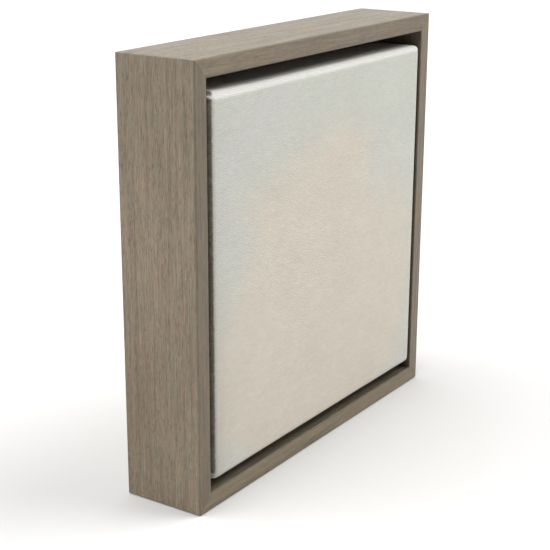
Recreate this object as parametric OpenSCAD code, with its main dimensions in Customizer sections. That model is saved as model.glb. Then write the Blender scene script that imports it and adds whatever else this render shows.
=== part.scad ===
// Small square stretched canvas, held in a mitred wooden floater frame.
// The canvas is stapled over keyed stretcher bars and screwed to the
// frame's ledge from behind. X runs along the width, the painted face
// looks to -Y, Z is up. The origin is the middle of the bottom edge.

/* [Frame] */
// Outer width of the frame
frame_w = 236; // [230:1:420]
// Outer height of the frame
frame_h = 236; // [230:1:420]
// Depth of the frame, front to back
frame_d = 48.3; // [47.5:0.1:54]
// Thickness of the wall that shows from the front
wall_t = 9.8; // [8:0.1:12]
// Width of the ledge across the back, wall included
base_w = 30; // [28:0.5:31]
// Radius of the frame's outer arrises
arris_r = 1.1; // [0.4:0.1:2]

/* [Canvas] */
// Gap between canvas and wall on the left
gap_left = 4.0; // [2:0.1:5]
// Gap between canvas and wall on the right
gap_right = 0.9; // [0.8:0.1:4]
// Gap between canvas and wall at the top
gap_top = 8.1; // [4:0.1:9]
// Gap between canvas and wall at the bottom
gap_bottom = 4.9; // [3:0.1:6]
// How far the canvas face lies behind the frame face
face_recess = 0.3; // [0:0.1:1]
// Thickness of the primed cloth
cloth_t = 0.5; // [0.4:0.05:0.7]
// Width of the cloth turned over onto the back of the bars
turn_over = 27.5; // [27:0.5:28]

/* [Stretcher bars] */
// Width of a stretcher bar, across the face
bar_w = 34; // [33:0.5:38]
// Depth of a stretcher bar
bar_d = 37.8; // [36.5:0.1:38.2]
// Width of the raised lip that carries the cloth
lip_w = 5; // [3:0.5:8]
// Thickness of each corner tongue and slot
tongue_t = 5; // [4:0.1:6]

/* [Corner keys] */
// Length of a key
key_len = 38; // [32:1:42]
// How far a key is driven into its slot
key_in = 24; // [18:1:27]
// Width of a key at its thin end
key_tip = 3; // [2:0.1:4]

/* [Hardware] */
// Height of the D-ring hinge above the bottom edge
ring_z = 164; // [110:1:164]
// Inner width of a D-ring
ring_in = 14; // [13:0.5:15]
// Distance of each D-ring from the middle
ring_x = 104; // [100:0.5:105]
// Diameter of a wall bumper
bumper_dia = 11; // [8:0.5:13]

/* [Hidden] */
$fn = 48;

// colours
wood_grey = [0.55, 0.49, 0.43];
pine = [0.84, 0.71, 0.52];
beech = [0.80, 0.64, 0.45];
cloth = [0.80, 0.79, 0.74];
steel = [0.62, 0.62, 0.63];
zinc = [0.70, 0.70, 0.68];
nickel = [0.75, 0.74, 0.70];
rubber_grey = [0.16, 0.16, 0.16];

// depth stations, front to back
y_front = -frame_d / 2;
y_back = frame_d / 2;
cloth_y0 = y_front + face_recess;        // face of the cloth
bar_y0 = cloth_y0 + cloth_t;             // lip of the bars
bar_y1 = bar_y0 + bar_d;                 // back of the bars
cloth_y1 = bar_y1 + cloth_t;             // back of the turned-over cloth
fold_t = 0.7;                            // extra layers at the folded corners
pad_in = 1.7;                            // those layers start this far in
ledge_y0 = cloth_y1 + fold_t;            // front of the ledge
ledge_t = y_back - ledge_y0;

// canvas and bar rectangle
cloth_x = (frame_w - gap_left - gap_right) / 2 - wall_t;
seat_x = (gap_left - gap_right) / 2;     // the canvas sits this far off the middle
cloth_z0 = wall_t + gap_bottom;
cloth_z1 = frame_h - wall_t - gap_top;
bar_x = cloth_x - cloth_t;
bar_z0 = cloth_z0 + cloth_t;
bar_z1 = cloth_z1 - cloth_t;
bar_zc = (bar_z0 + bar_z1) / 2;
bar_len_h = 2 * bar_x;
bar_len_v = bar_z1 - bar_z0;
edge_r = 3.2;                            // front edge of the bars
corner_r = 4.5;                          // upright corners of the bars

// layers of the corner joint, measured from the lip
lay_p = 14;                              // tongues of the upright bars
lay_q = lay_p + tongue_t;                // tongues of the level bars
snug = 0.1;                              // clearance on each side of a tongue
key_room = 6.5;                          // slot length past the tongue
key_t = tongue_t - 0.4;
key_slope = (key_room - 0.2 - key_tip) / key_in;
key_tail = key_tip + key_slope * key_len;
slot_stop = 3;                           // wood left at the end of a key slot

// screws that hold the canvas in the frame
screw_span_h = 55;
screw_zs = [54, 190];
screw_low_z = 23;
screw_high_z = (cloth_z1 + frame_h - base_w) / 2 + 0.2;
screw_side_x = frame_w / 2 - base_w + 8;
screw_len = 19;
screw_r = 1.75;
head_r = 3.5;
head_h = 2.6;

// staples
staple_in = 21;
fold_staple_in = turn_over - 4;          // the slanted one on each folded corner
staple_w = 10;
staple_leg = 8;
staple_at = [-70, -42, -14, 14, 42, 70];

// D-ring hanger
ring_r = 1.2;
barrel_r = 2.2;
barrel_bore = 1.28;
strap_w = 12;
strap_t = 1.8;
strap_drop = 27;
strap_screw = 20;
ring_lean = 6;
ring_y = y_back + barrel_r;
bumper_h = 4.9;

// ---------- small helpers ----------

// removes one square corner and leaves a quarter round
module eased(r, a) {
  rotate(a) difference() {
    translate([-1, -1]) square([r + 1, r + 1]);
    translate([r, r]) circle(r);
  }
}

// upright rectangle in X and Z with rounded corners, extruded along Y
module column(x, z0, z1, y0, y1, r) {
  translate([0, y1, 0]) rotate([90, 0, 0]) linear_extrude(y1 - y0) difference() {
    translate([-x, z0]) square([2 * x, z1 - z0]);
    translate([-x, z0]) eased(r, 0);
    translate([x, z0]) eased(r, 90);
    translate([x, z1]) eased(r, 180);
    translate([-x, z1]) eased(r, 270);
  }
}

// a profile drawn in Y and Z, extruded along X about the middle
module along_x(len) {
  rotate([90, 0, 90]) linear_extrude(len, center = true) children();
}

// puts a piece drawn as the bottom member onto one side of a rectangle
module on_side(side, x, z0, z1) {
  if (side == "bottom") translate([0, 0, z0]) children();
  if (side == "top") translate([0, 0, z1]) mirror([0, 0, 1]) children();
  if (side == "left") translate([-x, 0, (z0 + z1) / 2]) rotate([0, 90, 0]) children();
  if (side == "right") translate([x, 0, (z0 + z1) / 2]) rotate([0, -90, 0]) children();
}

// puts the canvas and its stretcher in their place in the frame
module seated() {
  translate([seat_x, 0, 0]) children();
}

// ---------- floater frame ----------

module rail_profile() {
  difference() {
    union() {
      translate([y_front, 0]) square([frame_d, wall_t]);
      translate([ledge_y0, 0]) square([ledge_t, base_w]);
    }
    translate([y_front, 0]) eased(arris_r, 0);
    translate([y_front, wall_t]) eased(arris_r * 0.6, 270);
    translate([y_back, 0]) eased(arris_r, 90);
    translate([y_back, base_w]) eased(arris_r * 0.6, 180);
  }
}

module mitred(len, w, y0, y1) {
  translate([0, y1, 0]) rotate([90, 0, 0]) linear_extrude(y1 - y0)
    polygon([[-len / 2, 0], [len / 2, 0], [len / 2 - w - 1, w + 1], [-len / 2 + w + 1, w + 1]]);
}

// positions of the mounting screws on each side, as [x, z]
function screws_on(side) =
  side == "bottom" ? [[-screw_span_h, screw_low_z], [screw_span_h, screw_low_z]] :
  side == "top" ? [[-screw_span_h, screw_high_z], [screw_span_h, screw_high_z]] :
  side == "left" ? [[-screw_side_x, screw_zs[0]], [-screw_side_x, screw_zs[1]]] :
  [[screw_side_x, screw_zs[0]], [screw_side_x, screw_zs[1]]];

module frame_rail(side) {
  len = (side == "top" || side == "bottom") ? frame_w : frame_h;
  color(wood_grey) difference() {
    intersection() {
      on_side(side, frame_w / 2, 0, frame_h) intersection() {
        along_x(len) rail_profile();
        mitred(len, base_w, y_front - 1, y_back + 1);
      }
      column(frame_w / 2, 0, frame_h, y_front - 1, y_back + 1, arris_r);
    }
    // countersunk clearance holes in the ledge
    for (p = screws_on(side)) translate([p[0], y_back, p[1]]) rotate([90, 0, 0]) {
      translate([0, 0, -1]) cylinder(r = screw_r + 0.25, h = ledge_t + 2);
      translate([0, 0, -0.01]) cylinder(r1 = head_r + 0.1, r2 = screw_r, h = head_h + 0.1);
    }
    // pilot for the hanger's screw
    if (side == "left" || side == "right")
      translate([side == "left" ? -ring_x : ring_x, y_back + 1, ring_z - strap_screw])
        rotate([90, 0, 0]) cylinder(r = 1.1, h = 9);
  }
}

// one V-nail, its point on the mitre and one leg in each rail
module v_nail() {
  leg = 7; t = 0.7; deep = 7;
  translate([0, y_back - 0.1, 0]) rotate([90, 0, 0]) linear_extrude(deep) union() {
    square([leg, t]);
    square([t, leg]);
  }
}

module corner_v_nails() {
  color(steel) for (sx = [0, 1], sz = [0, 1])
    translate([0, 0, frame_h / 2]) mirror([sx, 0, 0]) mirror([0, 0, sz])
      for (d = [6, 19]) translate([-frame_w / 2 + d, 0, -frame_h / 2 + d]) v_nail();
}

// ---------- stretcher bars ----------

module bar_profile() {
  difference() {
    polygon([[0, 0], [bar_d, 0], [bar_d, bar_w], [4.5, bar_w], [3, lip_w + 4], [0, lip_w]]);
    eased(edge_r, 0);
    translate([bar_d, 0]) eased(1, 90);
    translate([bar_d, bar_w]) eased(1, 180);
  }
}

// tongue_lay is the layer this bar's own tongues lie in, slot_lay the other one
module bar_solid(len, tongue_lay, slot_lay) {
  difference() {
    union() {
      intersection() {
        along_x(len) bar_profile();
        mitred(len, bar_w, -1, bar_d + 1);
      }
      for (m = [0, 1]) mirror([m, 0, 0])
        translate([len / 2 - bar_w - 1, tongue_lay + snug, 0])
          cube([bar_w + 0.6, tongue_t - 2 * snug, bar_w]);
    }
    for (m = [0, 1]) mirror([m, 0, 0]) {
      translate([len / 2 - bar_w, slot_lay, -1]) cube([bar_w + 1, tongue_t, bar_w + 2]);
      translate([len / 2 - bar_w - key_room, slot_lay, slot_stop])
        cube([key_room + 1, tongue_t, bar_w]);
    }
  }
}

module stretcher_bar(side) {
  level = side == "top" || side == "bottom";
  color(pine) difference() {
    seated() intersection() {
      translate([0, bar_y0, 0]) on_side(side, bar_x, bar_z0, bar_z1)
        bar_solid(level ? bar_len_h : bar_len_v, level ? lay_q : lay_p, level ? lay_p : lay_q);
      column(bar_x, bar_z0, bar_z1, bar_y0 - 1, bar_y1 + 1, corner_r);
    }
    // pilots for the mounting screws
    for (p = screws_on(side)) translate([p[0], bar_y1 + 1, p[1]]) rotate([90, 0, 0])
      cylinder(r = 1.2, h = 12);
  }
}

// ---------- corner keys ----------

// a key drawn with its thin end up, its straight edge on X = 0 and the slot's
// mouth at Z = 0
module key_blank(y0) {
  z1 = key_in;
  z0 = key_in - key_len;
  color(beech) translate([0, y0 + key_t, 0]) rotate([90, 0, 0]) linear_extrude(key_t)
    polygon([[0.1, z0 + 1.2], [1.3, z0], [key_tail - 1.2, z0], [key_tail, z0 + 1.2],
      [key_tip + 0.1, z1 - 1], [key_tip - 0.9, z1], [1.1, z1], [0.1, z1 - 1]]);
}

// the key that slides up and down, in the slot of a level bar
module key_upright(right, top) {
  translate([seat_x, 0, bar_zc]) mirror([right ? 1 : 0, 0, 0]) mirror([0, 0, top ? 0 : 1])
    translate([-bar_x + bar_w, 0, (bar_z1 - bar_z0) / 2 - bar_w])
      key_blank(bar_y0 + lay_p + 0.2);
}

// the key that slides sideways, in the slot of an upright bar
module key_level(right, top) {
  translate([seat_x, 0, bar_zc]) mirror([right ? 1 : 0, 0, 0]) mirror([0, 0, top ? 0 : 1])
    translate([-bar_x + bar_w, 0, (bar_z1 - bar_z0) / 2 - bar_w])
      mirror([1, 0, 0]) rotate([0, 90, 0]) mirror([0, 0, 0])
        key_blank(bar_y0 + lay_q + 0.2);
}

// ---------- canvas ----------

// block with rounded front edges and rounded upright corners
module soft_block(x, z0, z1, y0, y1, re, rc) {
  intersection() {
    column(x, z0, z1, y0, y1, rc);
    translate([0, 0, z0 - 1]) linear_extrude(z1 - z0 + 2) difference() {
      translate([-x, y0]) square([2 * x, y1 - y0]);
      translate([-x, y0]) eased(re, 0);
      translate([x, y0]) eased(re, 90);
    }
    along_x(2 * x + 2) difference() {
      translate([y0, z0]) square([y1 - y0, z1 - z0]);
      translate([y0, z0]) eased(re, 0);
      translate([y0, z1]) eased(re, 270);
    }
  }
}

module canvas() {
  ox = cloth_x - turn_over;
  color(cloth) difference() {
    seated() union() {
      soft_block(cloth_x, cloth_z0, cloth_z1, cloth_y0, cloth_y1, edge_r + cloth_t, corner_r + cloth_t);
      // folded layers on the back of each corner
      for (sx = [-1, 1]) for (z = [cloth_z0 + pad_in, cloth_z1 - turn_over])
        translate([sx > 0 ? cloth_x - turn_over : -cloth_x + pad_in, cloth_y1 - 0.01, z])
          cube([turn_over - pad_in, fold_t + 0.01, turn_over - pad_in]);
    }
    seated() {
      soft_block(bar_x, bar_z0, bar_z1, bar_y0, bar_y1, edge_r, corner_r);
      translate([-ox, bar_y1 - 1, cloth_z0 + turn_over])
        cube([2 * ox, 5, cloth_z1 - cloth_z0 - 2 * turn_over]);
    }
    for (s = ["top", "bottom", "left", "right"]) for (p = screws_on(s))
      translate([p[0], cloth_y1 + 1, p[1]]) rotate([90, 0, 0]) cylinder(r = screw_r + 0.1, h = 3);
  }
}

// a staple, its crown along X on the plane Y = 0 and its legs going to -Y
module staple(y) {
  translate([-staple_w / 2, y, -0.55]) cube([staple_w, 0.5, 1.1]);
  for (sx = [-1, 1]) translate([sx * (staple_w / 2 - 0.25) - 0.25, y - staple_leg, -0.55])
    cube([0.5, staple_leg + 0.25, 1.1]);
}

module canvas_staples() {
  h = bar_len_v / bar_len_h;
  color(steel) seated() {
    for (s = staple_at) {
      translate([s, 0, cloth_z0 + staple_in]) staple(cloth_y1);
      translate([s, 0, cloth_z1 - staple_in]) staple(cloth_y1);
      for (sx = [-1, 1]) translate([sx * (cloth_x - staple_in), 0, bar_zc + s * h])
        rotate([0, 90, 0]) staple(cloth_y1);
    }
    for (sx = [-1, 1], sz = [-1, 1])
      translate([sx * (cloth_x - fold_staple_in), 0, bar_zc + sz * (bar_zc - cloth_z0 - fold_staple_in)])
        rotate([0, sx * sz * 45, 0]) staple(cloth_y1 + fold_t);
  }
}

// ---------- hardware ----------

// cross recess of a screw, cut into a head whose top is Z = 0
module cross_recess(w, deep) {
  translate([-w / 2, -0.45, -deep]) cube([w, 0.9, deep + 1]);
  translate([-0.45, -w / 2, -deep]) cube([0.9, w, deep + 1]);
}

// countersunk screw, top of the head at Z = 0, pointing to -Z
module flat_screw(len) {
  difference() {
    rotate_extrude() polygon([[0, 0], [head_r, 0], [screw_r, -head_h], [screw_r, -len + 3], [0, -len]]);
    cross_recess(3.8, 1.5);
  }
}

// pan-head screw, underside of the head at Z = 0
module pan_screw(len) {
  difference() {
    rotate_extrude() polygon([[0, 1.9], [2.2, 1.9], [3.1, 1.3], [3.4, 0.4], [3.4, 0],
      [screw_r, 0], [screw_r, -len + 2.5], [0, -len]]);
    translate([0, 0, 1.9]) cross_recess(3.6, 1.2);
  }
}

module mounting_screws() {
  color(zinc) for (s = ["top", "bottom", "left", "right"]) for (p = screws_on(s))
    translate([p[0], y_back, p[1]]) rotate([-90, 0, 0]) flat_screw(screw_len);
}

module hanger_screws() {
  color(zinc) for (sx = [-1, 1])
    translate([sx * ring_x, y_back + strap_t, ring_z - strap_screw]) rotate([-90, 0, 0]) pan_screw(9.5);
}

// folded strap that holds a D-ring, hinge line along X
module d_ring_strap(x) {
  color(nickel) translate([x, ring_y, ring_z]) difference() {
    union() {
      rotate([0, 90, 0]) cylinder(r = barrel_r, h = strap_w, center = true);
      // plate, its lower end round
      translate([0, -barrel_r + strap_t, 0]) rotate([90, 0, 0]) linear_extrude(strap_t) union() {
        translate([-strap_w / 2, -strap_drop + strap_w / 2]) square([strap_w, strap_drop - strap_w / 2]);
        translate([0, -strap_drop + strap_w / 2]) circle(strap_w / 2);
      }
      // the fold runs down from the barrel onto the plate
      translate([-strap_w / 2, 0, 0]) rotate([90, 0, 90]) linear_extrude(strap_w)
        polygon([[-barrel_r, 0], [1.9, -1.1], [-barrel_r + strap_t, -4.6], [-barrel_r, -4.6]]);
    }
    rotate([0, 90, 0]) cylinder(r = barrel_bore, h = strap_w + 2, center = true);
    translate([0, 0, -strap_screw]) rotate([90, 0, 0]) cylinder(r = 1.95, h = 8, center = true);
  }
}

module d_ring(x) {
  cr = ring_in / 2 + ring_r;             // centre line of the bow
  k = 2;                                 // bend at the ends of the bar
  drop = 4;                              // straight of each leg ends here
  color(nickel) translate([x, ring_y, ring_z]) rotate([ring_lean, 0, 0]) union() {
    rotate([0, 90, 0]) cylinder(r = ring_r, h = 2 * (cr - k), center = true, $fn = 32);
    for (m = [0, 1]) mirror([m, 0, 0]) {
      translate([cr - k, 0, -k]) rotate([90, 0, 0]) rotate_extrude(angle = 90, $fn = 48)
        translate([k, 0]) circle(ring_r, $fn = 32);
      translate([cr, 0, -drop]) cylinder(r = ring_r, h = drop - k, $fn = 32);
    }
    translate([0, 0, -drop]) rotate([90, 0, 0]) rotate([0, 0, 180]) rotate_extrude(angle = 180, $fn = 64)
      translate([cr, 0]) circle(ring_r, $fn = 32);
  }
}

module wall_bumper(x) {
  r = bumper_dia / 2;
  color(rubber_grey) translate([x, y_back, base_w / 2 - 1]) rotate([-90, 0, 0])
    rotate_extrude() polygon([[0, 0], [r, 0], [r, 0.8], [r - 0.5, bumper_h - 1.2],
      [r - 1.3, bumper_h], [0, bumper_h]]);
}

frame_rail("top");  // frame_rail_top
frame_rail("bottom");  // frame_rail_bottom
frame_rail("left");  // frame_rail_left
frame_rail("right");  // frame_rail_right
corner_v_nails();
stretcher_bar("top");  // stretcher_bar_top
stretcher_bar("bottom");  // stretcher_bar_bottom
stretcher_bar("left");  // stretcher_bar_left
stretcher_bar("right");  // stretcher_bar_right
key_upright(false, true);  // key_top_left_upright
key_level(false, true);  // key_top_left_level
key_upright(true, true);  // key_top_right_upright
key_level(true, true);  // key_top_right_level
key_upright(false, false);  // key_bottom_left_upright
key_level(false, false);  // key_bottom_left_level
key_upright(true, false);  // key_bottom_right_upright
key_level(true, false);  // key_bottom_right_level
canvas();
canvas_staples();
mounting_screws();
d_ring_strap(-ring_x);  // d_ring_strap_left
d_ring_strap(ring_x);  // d_ring_strap_right
d_ring(-ring_x);  // d_ring_left
d_ring(ring_x);  // d_ring_right
hanger_screws();
wall_bumper(-(frame_w / 2 - 15));  // wall_bumper_left
wall_bumper(frame_w / 2 - 15);  // wall_bumper_right
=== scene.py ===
import math

import bmesh
import bpy
import numpy as np
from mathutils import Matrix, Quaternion, Vector


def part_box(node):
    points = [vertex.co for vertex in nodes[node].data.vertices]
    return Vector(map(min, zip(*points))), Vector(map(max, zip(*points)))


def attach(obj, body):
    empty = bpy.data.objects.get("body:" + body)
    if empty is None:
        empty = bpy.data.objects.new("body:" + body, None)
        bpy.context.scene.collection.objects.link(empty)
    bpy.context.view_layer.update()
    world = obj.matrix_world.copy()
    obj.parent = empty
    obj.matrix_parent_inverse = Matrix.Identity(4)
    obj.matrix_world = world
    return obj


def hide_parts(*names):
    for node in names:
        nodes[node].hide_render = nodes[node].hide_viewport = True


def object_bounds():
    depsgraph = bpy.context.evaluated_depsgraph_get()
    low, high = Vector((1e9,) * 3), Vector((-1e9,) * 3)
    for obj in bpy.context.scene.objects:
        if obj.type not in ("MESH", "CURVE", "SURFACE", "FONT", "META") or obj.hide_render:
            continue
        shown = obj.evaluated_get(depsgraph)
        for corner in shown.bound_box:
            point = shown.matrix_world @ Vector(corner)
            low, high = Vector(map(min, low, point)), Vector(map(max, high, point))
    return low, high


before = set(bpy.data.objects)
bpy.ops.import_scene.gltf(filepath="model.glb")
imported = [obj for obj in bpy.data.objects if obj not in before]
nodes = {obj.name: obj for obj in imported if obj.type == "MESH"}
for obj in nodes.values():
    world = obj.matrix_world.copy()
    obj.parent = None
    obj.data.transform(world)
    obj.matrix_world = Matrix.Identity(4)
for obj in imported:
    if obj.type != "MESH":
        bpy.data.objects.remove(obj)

# Lengths below are millimetres unless a name says otherwise; MM turns them into metres.
MM = 0.001
cad_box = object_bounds()
scene = bpy.context.scene
scene.view_settings.view_transform = "Standard"
scene.view_settings.look = "None"


def box_mm(name):
    lo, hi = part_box(name)
    return Vector(lo) / MM, Vector(hi) / MM


# ---------------------------------------------------------------- node graphs


class Graph:
    """One material's node tree, written as nested calls."""

    def __init__(self, name):
        self.mat = bpy.data.materials.new(name)
        self.mat.use_nodes = True
        self.nt = self.mat.node_tree
        self.nt.nodes.clear()
        self.end = self.nt.nodes.new("ShaderNodeOutputMaterial")

    def put(self, socket, value):
        if isinstance(value, bpy.types.NodeSocket):
            self.nt.links.new(value, socket)
        elif isinstance(value, (tuple, list)) and len(value) == 3 and len(socket.default_value) == 4:
            socket.default_value = (*value, 1.0)
        else:
            socket.default_value = value

    def node(self, kind, **props):
        n = self.nt.nodes.new(kind)
        for k, v in props.items():
            setattr(n, k, v)
        return n

    def math(self, op, a, b=None, c=None, clamp=False):
        n = self.node("ShaderNodeMath", operation=op, use_clamp=clamp)
        for i, v in enumerate((a, b, c)):
            if v is not None:
                self.put(n.inputs[i], v)
        return n.outputs[0]

    def add(self, a, b):
        return self.math("ADD", a, b)

    def sub(self, a, b):
        return self.math("SUBTRACT", a, b)

    def mul(self, a, b):
        return self.math("MULTIPLY", a, b)

    def low(self, a, b):
        return self.math("MINIMUM", a, b)

    def high(self, a, b):
        return self.math("MAXIMUM", a, b)

    def absolute(self, a):
        return self.math("ABSOLUTE", a)

    def step(self, value, start, stop, a=0.0, b=1.0):
        """Smooth change from a to b as value goes from start to stop."""
        n = self.node("ShaderNodeMapRange", interpolation_type="SMOOTHSTEP", clamp=True)
        for i, v in enumerate((value, start, stop, a, b)):
            self.put(n.inputs[i], v)
        return n.outputs[0]

    def span(self, value, start, stop, a, b):
        n = self.node("ShaderNodeMapRange", clamp=True)
        for i, v in enumerate((value, start, stop, a, b)):
            self.put(n.inputs[i], v)
        return n.outputs[0]

    def vec(self, x, y, z):
        n = self.node("ShaderNodeCombineXYZ")
        for i, v in enumerate((x, y, z)):
            self.put(n.inputs[i], v)
        return n.outputs[0]

    def split(self, v):
        n = self.node("ShaderNodeSeparateXYZ")
        self.put(n.inputs[0], v)
        return n.outputs[0], n.outputs[1], n.outputs[2]

    def noise(self, v, detail=2.0, rough=0.5, warp=0.0):
        n = self.node("ShaderNodeTexNoise", noise_dimensions="3D")
        self.put(n.inputs["Vector"], v)
        n.inputs["Scale"].default_value = 1.0
        n.inputs["Detail"].default_value = detail
        n.inputs["Roughness"].default_value = rough
        n.inputs["Distortion"].default_value = warp
        return n.outputs["Fac"]

    def random(self, v):
        n = self.node("ShaderNodeTexWhiteNoise", noise_dimensions="3D")
        self.put(n.inputs["Vector"], v)
        return n.outputs["Value"]

    def cells(self, v, feature="F1", jitter=1.0):
        n = self.node("ShaderNodeTexVoronoi", feature=feature)
        self.put(n.inputs["Vector"], v)
        n.inputs["Scale"].default_value = 1.0
        n.inputs["Randomness"].default_value = jitter
        return n.outputs[0]

    def mix(self, fac, a, b, how="MIX"):
        n = self.node("ShaderNodeMix", data_type="RGBA", blend_type=how, clamp_factor=True)
        self.put(n.inputs[0], fac)
        self.put(n.inputs[6], a)
        self.put(n.inputs[7], b)
        return n.outputs[2]

    def shade(self, colour, by):
        """A colour made lighter or darker by a number around 1."""
        n = self.node("ShaderNodeVectorMath", operation="SCALE")
        self.put(n.inputs[0], colour)
        self.put(n.inputs[3], by)
        return n.outputs[0]

    def position(self):
        """x, y, z of the point in the row frame, in millimetres."""
        n = self.node("ShaderNodeTexCoord")
        s = self.node("ShaderNodeVectorMath", operation="SCALE")
        self.put(s.inputs[0], n.outputs["Object"])
        s.inputs[3].default_value = 1000.0
        return self.split(s.outputs[0])

    def facing(self, even=False):
        """x, y, z of the surface's normal: each face's own, or smoothed over the faces."""
        n = self.node("ShaderNodeNewGeometry")
        return self.split(n.outputs["Normal" if even else "True Normal"])

    def bump(self, height_mm, strength=1.0, under=None):
        n = self.node("ShaderNodeBump")
        n.inputs["Strength"].default_value = strength
        n.inputs["Distance"].default_value = MM
        self.put(n.inputs["Height"], height_mm)
        if under is not None:
            self.put(n.inputs["Normal"], under)
        return n.outputs[0]

    def finish(self, colour, roughness, normal=None, **more):
        p = self.node("ShaderNodeBsdfPrincipled")
        self.put(p.inputs["Base Color"], colour)
        self.put(p.inputs["Roughness"], roughness)
        if normal is not None:
            self.put(p.inputs["Normal"], normal)
        for k, v in more.items():
            self.put(p.inputs[k.replace("_", " ")], v)
        self.nt.links.new(p.outputs[0], self.end.inputs["Surface"])
        return self.mat


def frame_wood(name, upright, seed, mitre_dark, tone_and_painted_shade, front_painted_shade, tints, patches=()):
    """Grey-brown stained open-pored wood; the grain runs along the rail."""
    g = Graph(name)
    x, y, z = g.position()
    nx, ny, nz = g.facing()
    along, across = (z, x) if upright else (x, z)
    lo, hi = (v / MM for v in cad_box)
    half_w, height = hi.x, hi.z

    def grain(a, b, c):
        return g.vec(g.add(g.mul(across, 1 / a), seed), g.mul(y, 1 / b), g.add(g.mul(along, 1 / c), seed * 1.7))

    bands = g.noise(grain(5.0, 3.4, 170.0), 2.0, 0.5)
    soft = g.noise(grain(1.7, 1.5, 60.0), 2.0, 0.55)
    fine = g.noise(grain(0.58, 0.52, 6.5), 3.0, 0.65)
    thread = g.noise(grain(0.55, 0.48, 34.0), 1.0, 0.5)
    tint = g.noise(grain(1.8, 1.5, 18.0), 1.0, 0.4)
    pore_n = g.noise(grain(0.34, 0.31, 3.1), 1.0, 0.5)
    pore_zone = g.noise(grain(2.2, 1.9, 26.0), 1.0, 0.5)
    pores = g.mul(g.step(pore_n, 0.585, 0.68), g.step(pore_zone, 0.34, 0.60, 0.30, 1.0))
    pores = g.mul(pores, g.sub(1.0, g.mul(g.absolute(ny), 0.45)))

    base = g.mix(g.step(tint, 0.35, 0.65), *tints)
    level = g.add(
        g.add(g.span(bands, 0.3, 0.7, -0.13, 0.13), g.span(soft, 0.3, 0.7, -0.15, 0.15)),
        g.add(g.span(fine, 0.25, 0.75, -0.36, 0.36), g.span(thread, 0.3, 0.7, -0.13, 0.13)),
    )
    # painted shade: faces turned to the front are made darker by the front factor, and part of each rail's tone stands
    # in for light falling from the upper right
    colour = g.shade(base, g.mul(g.add(level, 1.04), g.step(g.absolute(ny), 0.5, 0.9, tone_and_painted_shade, tone_and_painted_shade * front_painted_shade)))
    # two broad soft patches change the colour: y, z, how far they reach each way, and the tint
    for py, pz, ry, rz, patch_tint in patches:
        off_y, off_z = g.mul(g.sub(y, py), 1 / ry), g.mul(g.sub(z, pz), 1 / rz)
        near = g.math("EXPONENT", g.mul(g.add(g.mul(off_y, off_y), g.mul(off_z, off_z)), -1.0))
        colour = g.mix(near, colour, patch_tint, "MULTIPLY")
    colour = g.mix(g.mul(pores, 0.66), colour, (0.058, 0.042, 0.029))

    # Distances in from the frame's outer faces: the middle one of the three is the distance to the nearest long arris.
    a = g.sub(half_w, g.absolute(x))
    b = g.low(g.sub(y, lo.y), g.sub(24.15, y))
    c = g.sub(height / 2, g.absolute(g.sub(z, height / 2)))
    middle = g.high(g.low(a, b), g.low(g.high(a, b), c))
    worn = g.mul(g.step(middle, 1.5, 0.3), g.step(g.noise(g.vec(g.mul(x, 0.09), g.mul(y, 0.09), g.mul(z, 0.09)), 3.0, 0.6), 0.35, 0.7, 0.45, 1.0))
    colour = g.mix(g.mul(worn, 0.20), colour, (0.115, 0.086, 0.062))
    # Painted shade: the inner arris and the walls of the gap are made darker, as the gap lies in shade.
    depth_in = g.low(a, c)
    inner = g.mul(g.step(depth_in, 8.9, 9.7), g.step(g.sub(24.15, y), 8.0, 9.5))
    colour = g.shade(colour, g.sub(1.0, g.mul(inner, 0.50)))
    # Painted sheen: the upper face is made paler and cooler, in uneven streaks, standing in for the grazing reflection
    # it shows.
    painted_sheen_streaks = g.noise(grain(5.5, 5.0, 48.0), 3.0, 0.6)
    up = g.step(nz, 0.5, 0.9)
    colour = g.shade(colour, g.add(1.0, g.mul(up, g.span(painted_sheen_streaks, 0.34, 0.66, -0.09, 0.24))))
    colour = g.mix(up, colour, (1.0, 1.08, 1.15), "MULTIPLY")
    # The glue line of the mitre, seen on the front and back faces.
    glue = g.mul(g.step(g.absolute(g.sub(a, c)), 0.30, 0.10), g.step(g.low(a, c), 0.3, 0.9))
    colour = g.mix(g.mul(glue, mitre_dark), colour, (0.060, 0.045, 0.033))

    rough = g.add(g.add(g.span(fine, 0.3, 0.7, 0.40, 0.56), g.span(soft, 0.3, 0.7, -0.05, 0.05)), g.mul(pores, 0.18))
    height_mm = g.add(
        g.mul(pores, -0.070),
        g.add(g.mul(g.sub(fine, 0.5), 0.080), g.add(g.mul(g.sub(soft, 0.5), 0.09), g.mul(g.sub(thread, 0.5), 0.05))),
    )
    return g.finish(colour, rough, g.bump(height_mm), IOR=1.5)


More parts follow.
